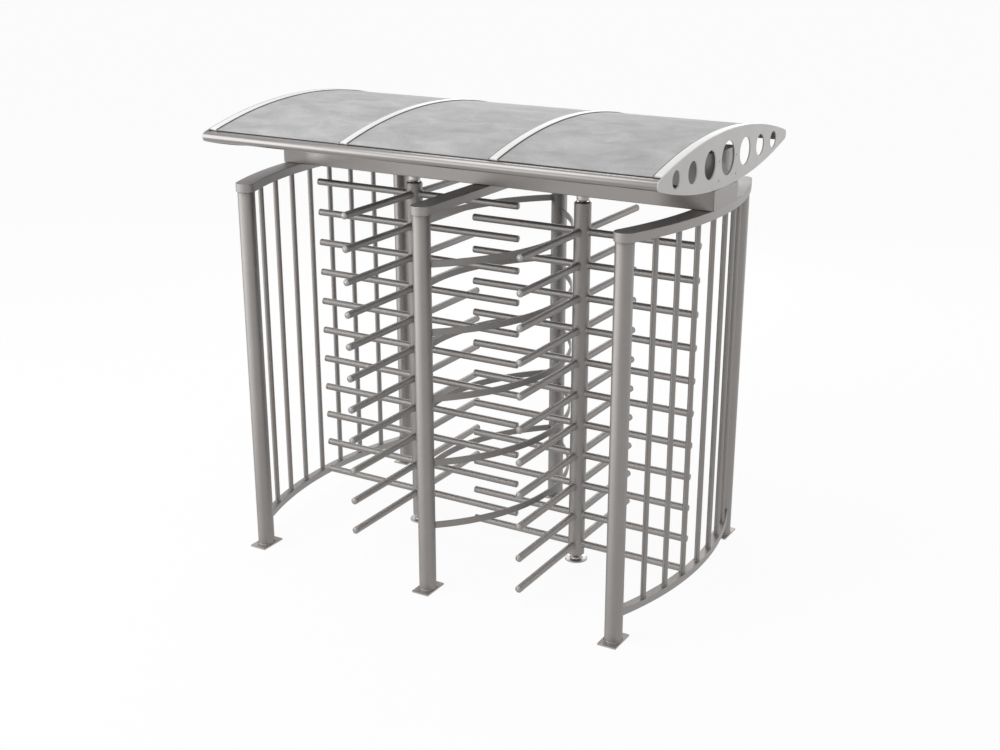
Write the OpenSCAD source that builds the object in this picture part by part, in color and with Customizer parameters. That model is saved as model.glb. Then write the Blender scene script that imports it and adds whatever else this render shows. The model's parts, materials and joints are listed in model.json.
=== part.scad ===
// Double full-height turnstile: two four-winged rotors side by side between
// barred cages, under a header beam and an arched canopy. Millimetres.
// X runs along the row, Y through the passages, Z up from the floor.
// The origin is on the floor, midway between the two rotors.

/* [Rotors] */
// Distance between the two rotor axes
rotor_spacing = 1024; // [980:1:1100]
// Outside diameter of the rotor column
column_dia = 89; // [76:1:102]
// Diameter of one rotor arm
arm_dia = 38; // [32:1:42]
// Distance from the rotor axis to an arm tip
arm_reach = 653; // [600:1:660]
// Height between two arms of one wing
arm_pitch = 175; // [160:1:180]
// Arms in one wing
arm_count = 11; // [9:1:11]
// Height of the lowest arm of the left rotor
left_low_arm = 186; // [180:1:200]
// Height of the lowest arm of the right rotor
right_low_arm = 98; // [90:1:110]
// Height of the foot of the column
column_foot = 35; // [30:1:45]
// Height of the head of the column
column_head = 2000; // [1980:1:2005]

/* [Posts and plates] */
// Outside diameter of the six posts
post_dia = 90; // [76:1:102]
// Distance of the outer posts from the middle
post_x = 1087; // [1060:1:1100]
// Distance of the posts to the front and rear of the rotor axes
post_y = 712; // [700:1:750]
// Base plate size along X
plate_width = 100; // [95:1:120]
// Base plate size along Y
plate_length = 160; // [150:1:180]
// Base plate thickness
plate_thick = 8; // [6:1:12]
// Anchor hole diameter
anchor_dia = 14; // [10:1:16]
// Distance between the two anchor holes of one plate
anchor_spacing = 124; // [120:1:150]

/* [Cages] */
// How far a cage bows outwards from the line of its posts
cage_bow = 135; // [120:1:160]
// Width of the top rails
rail_width = 104; // [100:1:130]
// Height of the top rails
rail_height = 45; // [40:1:50]
// Underside height of the top rails
rail_z = 2015; // [2010:1:2030]
// Width of the bottom rails
low_rail_width = 46; // [40:1:60]
// Height of the bottom rails
low_rail_height = 36; // [30:1:50]
// Underside height of the bottom rails
low_rail_z = 132; // [110:1:140]
// Diameter of the cage bars
bar_dia = 28; // [25:1:32]
// Distance between cage bars along Y
bar_pitch = 172.5; // [165:0.5:175]
// Height of the middle barrier bars
arc_height = 35; // [30:1:40]
// Thickness of the middle barrier bars
arc_thick = 10; // [8:1:12]
// How far the middle barrier bars bow to a side
arc_bow = 340; // [320:1:370]
// Middle height of the lowest barrier bar that bows to the left
left_arc_z = 441; // [435:1:460]
// Middle height of the lowest barrier bar that bows to the right
right_arc_z = 365; // [350:1:370]

/* [Header] */
// Length of the header beam
header_length = 2560; // [2540:1:2580]
// Depth of the header beam front to rear
header_depth = 300; // [260:1:320]
// Height of the header beam
header_height = 100; // [90:1:120]
// Thickness of the covers on the header ends
cover_thick = 4; // [3:1:6]

/* [Canopy] */
// Depth of the canopy from its middle to the front edge
canopy_half = 805; // [780:1:820]
// Radius of the canopy arch
canopy_radius = 2890; // [2800:10:3000]
// Height of the lens shaped end plates at the middle
lens_height = 268; // [260:1:280]
// Thickness of the end plates
lens_thick = 6; // [5:1:8]
// Width of the beam under the canopy, front to rear
support_width = 260; // [220:1:300]
// Height of the beam under the canopy
support_height = 175; // [150:1:200]
// Width of an arched rib along X
rib_width = 42; // [36:1:50]
// Depth of an arched rib
rib_depth = 22; // [18:1:26]
// Distance from the middle to an inner rib
rib_x = 425; // [400:1:440]
// Thickness of the roof panels
panel_thick = 6; // [4:1:8]
// Radius of the rounded edge rails
nose_radius = 25; // [22:1:26]
// Wall of the edge rails
nose_wall = 4; // [3:1:5]

/* [Hidden] */
$fn = 64;
long_arc_fn = 1440;
axis_x = rotor_spacing / 2;
column_r = column_dia / 2;
arm_r = arm_dia / 2;
post_r = post_dia / 2;
rail_top = rail_z + rail_height;
header_top = rail_top + header_height;
ring_dia = 74;
ring_height = 4;
collar_dia = 66;
collar_foot = column_head + ring_height + 6;
cage_radius = (post_y * post_y + cage_bow * cage_bow) / (2 * cage_bow);
cage_centre = post_x + cage_bow - cage_radius;
cage_angle = asin(post_y / cage_radius);
arc_radius = (post_y * post_y + arc_bow * arc_bow) / (2 * arc_bow);
arc_angle = asin(post_y / arc_radius);
lens_top = header_top + lens_height;
arch_z = lens_top - canopy_radius;
header_half = header_length / 2;
rib_end_x = header_half - lens_thick - rib_width / 2;
rib_half_angle = asin((canopy_half - 18) / canopy_radius);
panel_half_angle = asin((canopy_half - 58) / canopy_radius);
nose_y = canopy_half - nose_radius;
nose_back = 32;
tip_radius = 26;
tip_y = canopy_half - tip_radius;
nose_z = (header_top + lens_top) / 2;
steel = [0.62, 0.61, 0.60];
bright = [0.74, 0.73, 0.72];
white = [0.93, 0.93, 0.92];
frosted = [0.78, 0.79, 0.79, 0.8];
black = [0.08, 0.08, 0.08];

// One round post standing on its base plate.
module post(x, y) {
  color(steel)
    translate([x, y, plate_thick])
      cylinder(r = post_r, h = rail_z - plate_thick);
}

// One base plate with two anchor holes in line along Y.
module base_plate(x, y) {
  color(bright)
    difference() {
      translate([x - plate_width / 2, y - plate_length / 2, 0])
        cube([plate_width, plate_length, plate_thick]);
      for (side = [-1, 1])
        translate([x, y + side * anchor_spacing / 2, -1])
          cylinder(d = anchor_dia, h = plate_thick + 2);
    }
}

// A flat bar or rail bent about the Z axis, running from -angle to +angle.
module bent(radius, width, z, height, angle) {
  translate([0, 0, z])
    rotate([0, 0, -angle])
      rotate_extrude(angle = 2 * angle, $fn = long_arc_fn)
        translate([radius - width / 2, 0])
          square([width, height]);
}

// Curved top rail of one cage, resting on its two posts.
module cage_top_rail(side) {
  color(steel)
    rotate([0, 0, side < 0 ? 180 : 0])
      translate([cage_centre, 0, 0])
        bent(cage_radius, rail_width, rail_z, rail_height, cage_angle);
}

// Half-round end of a top rail, its flat side turned towards the rail.
module rail_end(turn) {
  intersection() {
    cylinder(d = rail_width, h = rail_height);
    rotate([0, 0, turn])
      translate([-rail_width, 0, -1])
        cube([2 * rail_width, rail_width, rail_height + 2]);
  }
}

// Curved bottom rail of one cage, fitted against the posts.
module cage_bottom_rail(side) {
  color(bright)
    rotate([0, 0, side < 0 ? 180 : 0])
      difference() {
        translate([cage_centre, 0, 0])
          bent(cage_radius, low_rail_width, low_rail_z, low_rail_height, cage_angle);
        for (end = [-1, 1])
          translate([post_x, end * post_y, low_rail_z - 1])
            cylinder(r = post_r, h = low_rail_height + 2);
      }
}

// Seven upright bars between the rails of one cage.
module cage_bars(side) {
  color(steel)
    for (i = [-3 : 3])
      translate([side * (cage_centre + sqrt(pow(cage_radius, 2) - pow(i * bar_pitch, 2))),
        i * bar_pitch, low_rail_z + low_rail_height])
        cylinder(d = bar_dia, h = rail_z - low_rail_z - low_rail_height);
}

// Five curved flat bars from the front to the rear middle post.
module barrier_bars(side, first_z) {
  color(steel)
    for (i = [0 : 4])
      difference() {
        rotate([0, 0, side < 0 ? 180 : 0])
          translate([arc_bow - arc_radius, 0, 0])
            bent(arc_radius, arc_thick, first_z + 2 * arm_pitch * i - arc_height / 2,
              arc_height, arc_angle);
        for (end = [-1, 1])
          translate([0, end * post_y, 0])
            cylinder(r = post_r, h = rail_z);
      }
}

// Rotor column.
module column(x) {
  color(steel)
    translate([x, 0, column_foot])
      cylinder(r = column_r, h = column_head - column_foot);
}

// Spindle ends that turn inside the floor bearing and the header collar.
module spindle(x) {
  color(steel) {
    translate([x, 0, 10])
      cylinder(d = 32, h = column_foot - 10);
    translate([x, 0, column_head + ring_height])
      cylinder(d = 38, h = 42);
  }
}

// Dark seal ring on the head of the column.
module neck_ring(x) {
  color(black)
    translate([x, 0, column_head])
      cylinder(d = ring_dia, h = ring_height);
}

// One wing: a column of arms, each fitted against the rotor column.
module wing(x, low_z, turn) {
  color(bright)
    for (i = [0 : arm_count - 1])
      translate([x, 0, low_z + i * arm_pitch])
        rotate([0, 0, turn])
          difference() {
            rotate([0, 90, 0])
              cylinder(r = arm_r, h = arm_reach);
            translate([0, 0, -arm_r - 1])
              cylinder(r = column_r, h = arm_dia + 2);
          }
}

// Round bearing housing on the floor under a rotor.
module floor_bearing(x) {
  color(bright)
    translate([x, 0, 0])
      difference() {
        union() {
          cylinder(d = 124, h = 8);
          cylinder(d = 64, h = 18);
        }
        translate([0, 0, 4])
          cylinder(d = 44, h = 20);
      }
}

// Collar under the header around the upper spindle.
module header_collar(x) {
  color(steel)
    translate([x, 0, collar_foot])
      difference() {
        cylinder(d = collar_dia, h = rail_top - collar_foot);
        translate([0, 0, -1])
          cylinder(d = 50, h = 44);
      }
}

// A bar bent to the canopy arch, width along X centred on x.
module arch(x, width, outer, depth, half_angle) {
  translate([x - width / 2, 0, arch_z])
    rotate([0, 90, 0])
      rotate([0, 0, 180 - half_angle])
        rotate_extrude(angle = 2 * half_angle, $fn = long_arc_fn)
          translate([outer - depth, 0])
            square([depth, width]);
}

// Lens shaped end plate with seven round holes and four screw holes.
module end_plate(side) {
  color(bright)
    difference() {
      lens(side);
      for (hole = [[0, 165], [-220, 137], [220, 137], [-425, 106], [425, 106],
        [-612, 85], [612, 85]])
        translate([side * header_half, hole[0], nose_z])
          rotate([0, 90, 0])
            cylinder(d = hole[1], h = 40, center = true);
      screw_holes(side);
    }
}

// Outline of an end plate: two arcs that run into round tips over the edge rails.
module lens(side) {
  face_x = side > 0 ? header_half - lens_thick : -header_half;
  intersection() {
    disc(face_x, 0, arch_z, canopy_radius, long_arc_fn);
    disc(face_x, 0, header_top + canopy_radius, canopy_radius, long_arc_fn);
    translate([face_x, -tip_y, header_top])
      cube([lens_thick, 2 * tip_y, lens_height]);
  }
  for (y = [-tip_y, tip_y])
    disc(face_x, y, nose_z, tip_radius, $fn);
}

// A disc as thick as an end plate, upright in the plane of Y and Z.
module disc(x, y, z, radius, facets) {
  translate([x, y, z])
    rotate([0, 90, 0])
      cylinder(r = radius, h = lens_thick, $fn = facets);
}

// The four screw holes shared by an end plate and the support beam.
module screw_holes(side) {
  for (y = [-108, 108])
    for (z = [0, -92])
      translate([side * header_half, y, nose_z + z])
        rotate([0, 90, 0])
          cylinder(d = 9, h = 40, center = true);
}

// Folded box beam on the header that carries the end plates and the canopy.
module support_beam() {
  color(steel)
    difference() {
      translate([lens_thick - header_half, -support_width / 2, header_top])
        cube([header_length - 2 * lens_thick, support_width, support_height]);
      for (side = [-1, 1])
        screw_holes(side);
    }
}

// Solid bull-nosed bar along X: half round to the outside, flat towards the middle.
module nose_bar(side, radius, back) {
  rotate([0, 0, side < 0 ? 180 : 0])
    translate([-header_half + lens_thick, nose_y, nose_z]) {
      rotate([0, 90, 0])
        cylinder(r = radius, h = header_length - 2 * lens_thick);
      translate([0, -back, -radius])
        cube([header_length - 2 * lens_thick, back, 2 * radius]);
    }
}

// Rounded edge rail, a hollow extrusion.
module edge_rail(side) {
  color(bright)
    difference() {
      nose_bar(side, nose_radius, nose_back);
      nose_bar(side, nose_radius - nose_wall, nose_back - nose_wall);
    }
}

// One curved translucent roof panel between x0 and x1.
module roof_panel(x0, x1) {
  color(frosted)
    arch((x0 + x1) / 2, x1 - x0, canopy_radius - 5, panel_thick, panel_half_angle);
}

// One arched rib; its ends are notched over the edge rails.
module rib(x) {
  color(white)
    difference() {
      arch(x, rib_width, canopy_radius, rib_depth, rib_half_angle);
      for (side = [-1, 1])
        nose_bar(side, nose_radius, nose_back);
    }
}

// Header beam over both rotors.
module header_beam() {
  color(steel)
    translate([-header_half + cover_thick, -header_depth / 2, rail_top])
      cube([header_length - 2 * cover_thick, header_depth, header_height]);
}

// Cover plates on the two ends of the header.
module header_end_covers() {
  color(steel)
    for (x = [-header_half, header_half - cover_thick])
      translate([x, -header_depth / 2, rail_top])
        cube([cover_thick, header_depth, header_height]);
}

// Straight top rail between the middle posts.
module middle_top_rail() {
  color(steel)
    translate([-rail_width / 2, -post_y, rail_z])
      cube([rail_width, 2 * post_y, rail_height]);
}

// Half-round ends welded to the three top rails, over the posts.
module top_rail_ends() {
  color(steel)
    for (turn = [0, 180])
      rotate([0, 0, turn])
        for (i = [-1, 0, 1])
          translate([i * post_x, post_y, rail_z])
            rail_end(i * cage_angle);
}

module post_front_left() post(-post_x, -post_y);
module post_front_middle() post(0, -post_y);
module post_front_right() post(post_x, -post_y);
module post_rear_left() post(-post_x, post_y);
module post_rear_middle() post(0, post_y);
module post_rear_right() post(post_x, post_y);

module base_plates_left() for (side = [-1, 1]) base_plate(-post_x, side * post_y);
module base_plates_middle() for (side = [-1, 1]) base_plate(0, side * post_y);
module base_plates_right() for (side = [-1, 1]) base_plate(post_x, side * post_y);

module cage_left_top_rail() cage_top_rail(-1);
module cage_left_bottom_rail() cage_bottom_rail(-1);
module cage_left_bars() cage_bars(-1);
module cage_right_top_rail() cage_top_rail(1);
module cage_right_bottom_rail() cage_bottom_rail(1);
module cage_right_bars() cage_bars(1);

// The bars that bow to one side pass between the arms of the rotor on that side.
module barrier_bars_left() barrier_bars(-1, left_arc_z);
module barrier_bars_right() barrier_bars(1, right_arc_z);

module header_collar_left() header_collar(-axis_x);
module header_collar_right() header_collar(axis_x);
module floor_bearing_left() floor_bearing(-axis_x);
module floor_bearing_right() floor_bearing(axis_x);

module canopy_support_beam() support_beam();
module canopy_end_plate_left() end_plate(-1);
module canopy_end_plate_right() end_plate(1);
module canopy_end_ribs() for (side = [-1, 1]) rib(side * rib_end_x);
module canopy_inner_ribs() for (side = [-1, 1]) rib(side * rib_x);
module canopy_edge_rail_front() edge_rail(-1);
module canopy_edge_rail_rear() edge_rail(1);
module canopy_panel_left() roof_panel(rib_width / 2 - rib_end_x, -rib_x - rib_width / 2);
module canopy_panel_middle() roof_panel(rib_width / 2 - rib_x, rib_x - rib_width / 2);
module canopy_panel_right() roof_panel(rib_x + rib_width / 2, rib_end_x - rib_width / 2);

module left_column() column(-axis_x);
module left_spindle() spindle(-axis_x);
module left_neck_ring() neck_ring(-axis_x);
module left_wing_outer() wing(-axis_x, left_low_arm, 180);
module left_wing_inner() wing(-axis_x, left_low_arm, 0);
module left_wing_front() wing(-axis_x, left_low_arm, -90);
module left_wing_rear() wing(-axis_x, left_low_arm, 90);
module right_column() column(axis_x);
module right_spindle() spindle(axis_x);
module right_neck_ring() neck_ring(axis_x);
module right_wing_outer() wing(axis_x, right_low_arm, 0);
module right_wing_inner() wing(axis_x, right_low_arm, 180);
module right_wing_front() wing(axis_x, right_low_arm, -90);
module right_wing_rear() wing(axis_x, right_low_arm, 90);

post_front_left();
post_front_middle();
post_front_right();
post_rear_left();
post_rear_middle();
post_rear_right();
base_plates_left();
base_plates_middle();
base_plates_right();
cage_left_top_rail();
cage_left_bottom_rail();
cage_left_bars();
cage_right_top_rail();
cage_right_bottom_rail();
cage_right_bars();
middle_top_rail();
top_rail_ends();
barrier_bars_left();
barrier_bars_right();
header_beam();
header_end_covers();
header_collar_left();
header_collar_right();
floor_bearing_left();
floor_bearing_right();
canopy_support_beam();
canopy_end_plate_left();
canopy_end_plate_right();
canopy_end_ribs();
canopy_inner_ribs();
canopy_edge_rail_front();
canopy_edge_rail_rear();
canopy_panel_left();
canopy_panel_middle();
canopy_panel_right();
left_column();
left_spindle();
left_neck_ring();
left_wing_outer();
left_wing_inner();
left_wing_front();
left_wing_rear();
right_column();
right_spindle();
right_neck_ring();
right_wing_outer();
right_wing_inner();
right_wing_front();
right_wing_rear();
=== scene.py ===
"""Looks of a double full-height turnstile: satin steel frame and rotors under a frosted, arched canopy.

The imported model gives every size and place. X runs along the row of rotors, Y through the passages
and Z up, in metres. Each operator below makes one group of pieces and sets them on their CAD body.
"""
import json
import math

import bmesh
import bpy
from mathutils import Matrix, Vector


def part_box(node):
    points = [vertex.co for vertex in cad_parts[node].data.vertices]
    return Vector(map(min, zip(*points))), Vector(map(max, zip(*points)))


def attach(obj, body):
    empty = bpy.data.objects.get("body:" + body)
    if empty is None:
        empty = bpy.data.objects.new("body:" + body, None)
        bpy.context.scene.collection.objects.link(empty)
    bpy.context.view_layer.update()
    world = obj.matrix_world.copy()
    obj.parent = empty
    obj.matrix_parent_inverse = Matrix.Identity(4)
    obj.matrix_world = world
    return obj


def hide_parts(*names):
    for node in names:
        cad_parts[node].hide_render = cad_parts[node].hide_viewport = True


bl_info = {
    "name": "Full-height turnstile",
    "version": (1, 0, 0),
    "blender": (4, 5, 0),
    "location": "3D View > Sidebar > Turnstile",
    "description": "Makes the finished pieces of a double full-height turnstile with an arched canopy",
    "category": "Object",
}

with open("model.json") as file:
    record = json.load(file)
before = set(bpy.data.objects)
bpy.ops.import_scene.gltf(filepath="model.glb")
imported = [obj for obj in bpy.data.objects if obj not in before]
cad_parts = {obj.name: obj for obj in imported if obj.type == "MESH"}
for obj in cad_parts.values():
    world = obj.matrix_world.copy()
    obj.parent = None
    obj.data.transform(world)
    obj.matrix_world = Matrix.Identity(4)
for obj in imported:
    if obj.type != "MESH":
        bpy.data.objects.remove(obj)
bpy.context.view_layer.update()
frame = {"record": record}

SIDES = {"left": -1, "right": 1}
FRONT_REAR = {"front": -1, "rear": 1}
TURN = 2 * math.pi


# ---------------------------------------------------------------- sizes read from the frame


def middle(node):
    """Middle of a CAD node's box."""
    low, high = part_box(node)
    return (low + high) / 2


def extent(node):
    """Size of a CAD node's box along X, Y and Z."""
    low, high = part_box(node)
    return high - low


POST = middle("post_front_right")
POST_X, POST_Y = POST.x, -POST.y
POST_R = extent("post_front_right").x / 2
POST_FOOT, POST_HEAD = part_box("post_front_right")[0].z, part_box("post_front_right")[1].z
RAIL_W, RAIL_H = extent("middle_top_rail").x, extent("middle_top_rail").z
RAIL_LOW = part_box("middle_top_rail")[0].z
CAGE_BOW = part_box("cage_right_top_rail")[1].x - RAIL_W / 2 - POST_X
CAGE_R = (POST_Y**2 + CAGE_BOW**2) / (2 * CAGE_BOW)
CAGE_CENTRE = POST_X + CAGE_BOW - CAGE_R
CAGE_ANGLE = math.asin(POST_Y / CAGE_R)
LOW_RAIL_LOW, LOW_RAIL_HIGH = (corner.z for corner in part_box("cage_right_bottom_rail"))
LOW_RAIL_W = 2 * (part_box("cage_right_bottom_rail")[1].x - POST_X - CAGE_BOW)
BAR_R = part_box("cage_right_bars")[1].x - POST_X - CAGE_BOW
BAR_COUNT = 7
BAR_PITCH = (extent("cage_right_bars").y - 2 * BAR_R) / (BAR_COUNT - 1)
AXIS_X = middle("right_column").x
COLUMN_R = extent("right_column").x / 2
COLUMN_FOOT, COLUMN_HEAD = (corner.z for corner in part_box("right_column"))
ARM_R = extent("right_wing_outer").y / 2
ARM_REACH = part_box("right_wing_outer")[1].x - AXIS_X
ARM_COUNT = 11
ARM_PITCH = (extent("right_wing_outer").z - 2 * ARM_R) / (ARM_COUNT - 1)
HEADER_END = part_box("header_beam")[1].x
COVER_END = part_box("header_end_covers")[1].x
LENS_LOW, LENS_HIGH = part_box("canopy_end_plate_right")
NOSE_LOW, NOSE_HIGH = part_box("canopy_edge_rail_rear")
NOSE_R = (NOSE_HIGH.z - NOSE_LOW.z) / 2
NOSE_Y, NOSE_Z = NOSE_HIGH.y - NOSE_R, (NOSE_HIGH.z + NOSE_LOW.z) / 2

# What the boxes don't give. An end plate's holes are listed by distance from the middle and diameter.
BARRIER_COUNT = 5
FOOT_JOURNAL_R, HEAD_JOURNAL_R = 0.016, 0.019
RING_LIP = 0.0015
LENS_HOLES = ((0.0, 0.165), (0.22, 0.137), (0.425, 0.106), (0.612, 0.085))
SCREW_HOLE, SCREW_ACROSS, SCREW_RISE = 0.009, 0.216, 0.092
SHEET_SUNK, SHEET_THICK = 0.005, 0.006
RIB_DEPTH, RIB_SHORT = 0.022, 0.033
BUTTON_PROUD = 0.0008


def linear(text):
    """Turns an sRGB hex colour into the linear values that Blender's colours hold."""
    values = [int(text[i:i + 2], 16) / 255 for i in (1, 3, 5)]
    return [v / 12.92 if v <= 0.04045 else ((v + 0.055) / 1.055) ** 2.4 for v in values]


# ---------------------------------------------------------------- what a user may change


def length(name, text, value):
    """A size in metres."""
    return bpy.props.FloatProperty(
        name=name, description=text, default=value, min=0.0, unit="LENGTH", subtype="DISTANCE", precision=4)


def colour(name, text, value):
    """A colour, written as an sRGB hex value."""
    return bpy.props.FloatVectorProperty(
        name=name, description=text, default=linear(value), size=3, min=0.0, max=1.0, subtype="COLOR")


class TurnstileSizes(bpy.types.PropertyGroup):
    """Sizes of the small details, and of the flat bars and the canopy's arch."""

    weld: length("Weld", "Leg of the fillet welds where tubes and bars meet", 0.004)
    edge: length("Ground edge", "Radius of the ground edges of rails and plates", 0.0025)
    sheet_edge: length("Folded edge", "Outside radius of the folded header sheet", 0.004)
    dome: length("Plug dome", "Height of the domed plug in an arm's end", 0.007)
    groove: length("Plug groove", "Width of the joint between an arm's tube and its plug", 0.0016)
    arc_height: length("Barrier bar height", "Height of the flat barrier bars", 0.035)
    arc_thick: length("Barrier bar thickness", "Thickness of the flat barrier bars", 0.010)
    canopy_radius: length("Canopy radius", "Outside radius of the canopy's arch", 2.89)
    rib_width: length("Rib width", "Width of a canopy rib", 0.042)
    gasket: length("Gasket", "Width of the gasket that shows beside a canopy rib", 0.005)
    screw: length("Screw head", "Diameter of the screw heads sunk in the canopy's end plates", 0.0086)


class TurnstileColours(bpy.types.PropertyGroup):
    """Colours of the finishes."""

    post: colour("Post steel", "Satin brushed tube of the posts", "#8F8C8A")
    column: colour("Column steel", "Satin brushed tube of the rotor columns", "#918E8C")
    bars: colour("Bar steel", "Satin bars of the cages and barriers", "#8C8987")
    rail: colour("Rail steel", "Ground satin steel of the rails", "#959290")
    header: colour("Header steel", "Satin sheet of the header", "#84817F")
    arm: colour("Arm steel", "Satin tube of the rotor arms", "#979492")
    plate: colour("Plate steel", "Cut steel of the base plates", "#A5A19E")
    bearing: colour("Turned steel", "Turned steel of bearings, collars and arm plugs", "#ABA8A5")
    seal: colour("Rubber", "Black rubber of seals and gaskets", "#1D1D1E")
    panel: colour("Roof sheet", "Frosted sheet of the canopy", "#C1C1C1")
    rib: colour("White powder coat", "Ribs of the canopy", "#E0DFDD")
    edge: colour("Anodised aluminium", "Rounded edge rails of the canopy", "#8E8B89")
    end_plate: colour("Pale powder coat", "End plates of the canopy", "#BEBCBA")
    screw: colour("Dark screws", "Blackened screws of the end plates", "#232322")
    floor: colour("Floor", "Pale studio floor", "#F1F1F0")


# ---------------------------------------------------------------- shapes


def link(name, mesh):
    """A new object at the origin that holds the mesh."""
    piece = bpy.data.objects.new(name, mesh)
    bpy.context.scene.collection.objects.link(piece)
    return piece


def baked(piece):
    """Turns the piece with its modifiers into a plain mesh."""
    graph = bpy.context.evaluated_depsgraph_get()
    mesh = bpy.data.meshes.new_from_object(
        piece.evaluated_get(graph), preserve_all_data_layers=True, depsgraph=graph)
    piece.modifiers.clear()
    piece.data = mesh
    return piece


def softened(piece, width=0.0, segments=3):
    """Shades a piece smooth with its flat faces flat, and rounds its sharp edges if given a width."""
    if width:
        bevel = piece.modifiers.new("edges", "BEVEL")
        bevel.width = width
        bevel.segments = segments
        bevel.limit_method = "ANGLE"
        bevel.angle_limit = math.radians(40)
    piece.data.shade_smooth()
    normals = piece.modifiers.new("normals", "WEIGHTED_NORMAL")
    normals.weight = 80
    normals.keep_sharp = True
    return baked(piece)


def settled(piece, body, slot, *nodes, look=None):
    """Gives a piece the material of its look or slot, sets it on its body and hides the CAD nodes it stands
    for.
    """
    piece.data.materials.clear()
    piece.data.materials.append(finish(look or slot))
    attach(piece, body)
    if nodes:
        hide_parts(*nodes)


def arc(centre, radius, start, end, steps):
    """Points on an arc in a plane."""
    angles = [start + (end - start) * i / steps for i in range(steps + 1)]
    return [(centre[0] + radius * math.cos(a), centre[1] + radius * math.sin(a)) for a in angles]


def circle(centre, radius, steps):
    """Points round a circle in a plane."""
    return arc(centre, radius, 0, TURN * (steps - 1) / steps, steps - 1)


def hoop(x, radius, steps):
    """Points round a circle about the X axis."""
    turns = [TURN * i / steps for i in range(steps)]
    return [(x, radius * math.cos(a), radius * math.sin(a)) for a in turns]


def rounded(corners, radius, steps=4):
    """A polygon with each corner turned into an arc that touches both its sides."""
    points = []
    for i, corner in enumerate(corners):
        here = Vector(corner)
        back = (Vector(corners[i - 1]) - here).normalized()
        ahead = (Vector(corners[(i + 1) % len(corners)]) - here).normalized()
        half = back.angle(ahead) / 2
        centre = here + (back + ahead).normalized() * radius / math.sin(half)
        first = here + back * radius / math.tan(half) - centre
        last = here + ahead * radius / math.tan(half) - centre
        start = math.atan2(first.y, first.x)
        turn = math.remainder(math.atan2(last.y, last.x) - start, TURN)
        points += arc(centre, radius, start, start + turn, steps)
    return points


def rectangle(width, height, radius, steps=4):
    """A rounded rectangle round the origin."""
    w, h = width / 2, height / 2
    return rounded([(-w, -h), (w, -h), (w, h), (-w, h)], radius, steps)


def skin(rings, name, loop=False, along=None):
    """A closed shape through rings of points, with U along it and V round it, both in metres."""
    shape = bmesh.new()
    uv = shape.loops.layers.uv.new("UVMap")
    count = len(rings[0])
    rows = [[shape.verts.new(point) for point in ring] for ring in rings]
    if along is None:
        along = [0.0]
        for before, after in zip(rings, rings[1:]):
            along.append(along[-1] + (Vector(before[0]) - Vector(after[0])).length)
    around = [0.0]
    widest = max(rings, key=lambda ring: (Vector(ring[0]) - Vector(ring[count // 2])).length)
    for j in range(count):
        step = (Vector(widest[(j + 1) % count]) - Vector(widest[j])).length
        around.append(around[-1] + step)
    pairs = list(zip(range(len(rows) - 1), range(1, len(rows))))
    if loop:
        pairs.append((len(rows) - 1, 0))
        along.append(along[-1] + (Vector(rings[-1][0]) - Vector(rings[0][0])).length)
    for i, (a, b) in enumerate(pairs):
        for j in range(count):
            k = (j + 1) % count
            face = shape.faces.new((rows[a][j], rows[a][k], rows[b][k], rows[b][j]))
            spots = ((i, j), (i, j + 1), (i + 1, j + 1), (i + 1, j))
            for corner, (u, v) in zip(face.loops, spots):
                corner[uv].uv = (along[u], around[v])
    if not loop:
        for row, u in ((rows[0], along[0]), (rows[-1], along[-1])):
            face = shape.faces.new(row)
            centre = sum((v.co for v in row), Vector()) / count
            for corner in face.loops:
                offset = corner.vert.co - centre
                corner[uv].uv = (u + offset.x + offset.z, offset.y)
    bmesh.ops.recalc_face_normals(shape, faces=shape.faces)
    mesh = bpy.data.meshes.new(name)
    shape.to_mesh(mesh)
    shape.free()
    return mesh


def turned(profile, name, x=0.0, y=0.0, steps=48, bored=False):
    """A shape turned about a vertical axis; a bored one has a closed profile clear of the axis."""
    spokes = [(math.cos(TURN * i / steps), math.sin(TURN * i / steps)) for i in range(steps)]
    if bored:
        rings = [[(x + r * c, y + r * s, z) for r, z in profile] for c, s in spokes]
        return skin(rings, name, loop=True)
    rings = [[(x + r * c, y + r * s, z) for c, s in spokes] for r, z in profile]
    return skin(rings, name, along=[z for r, z in profile])


def slab(outline, low, high, name, holes=(), axes="xyz"):
    """A flat plate: its outline and holes lie in the plane of the first two axes."""
    shape = bmesh.new()
    order = ["xyz".index(letter) for letter in axes]
    edges = []
    for ring in (outline, *holes):
        verts = []
        for point in ring:
            place = Vector()
            for axis, value in zip(order, (*point, low)):
                place[axis] = value
            verts.append(shape.verts.new(place))
        edges += [shape.edges.new((verts[i - 1], verts[i])) for i in range(len(verts))]
    if holes:
        bmesh.ops.triangle_fill(shape, edges=edges, use_beauty=True)
    else:
        shape.faces.new(shape.verts)
    rise = Vector()
    rise[order[2]] = high - low
    made = bmesh.ops.extrude_face_region(shape, geom=shape.faces[:])
    lifted = [item for item in made["geom"] if isinstance(item, bmesh.types.BMVert)]
    bmesh.ops.translate(shape, verts=lifted, vec=rise)
    bmesh.ops.recalc_face_normals(shape, faces=shape.faces)
    mesh = bpy.data.meshes.new(name)
    shape.to_mesh(mesh)
    shape.free()
    return mesh


def grained(piece, along):
    """Lays the UV map: U is the place along the grain, V the place across it, both in metres."""
    mesh = piece.data
    layer = mesh.uv_layers.get("UVMap") or mesh.uv_layers.new(name="UVMap")
    for corner in mesh.loops:
        layer.data[corner.index].uv = along(mesh.vertices[corner.vertex_index].co)
    return piece


def joined(meshes, name):
    """One mesh from several."""
    shape = bmesh.new()
    for mesh in meshes:
        shape.from_mesh(mesh)
        bpy.data.meshes.remove(mesh)
    mesh = bpy.data.meshes.new(name)
    shape.to_mesh(mesh)
    shape.free()
    return mesh


# ---------------------------------------------------------------- nodes


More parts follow.
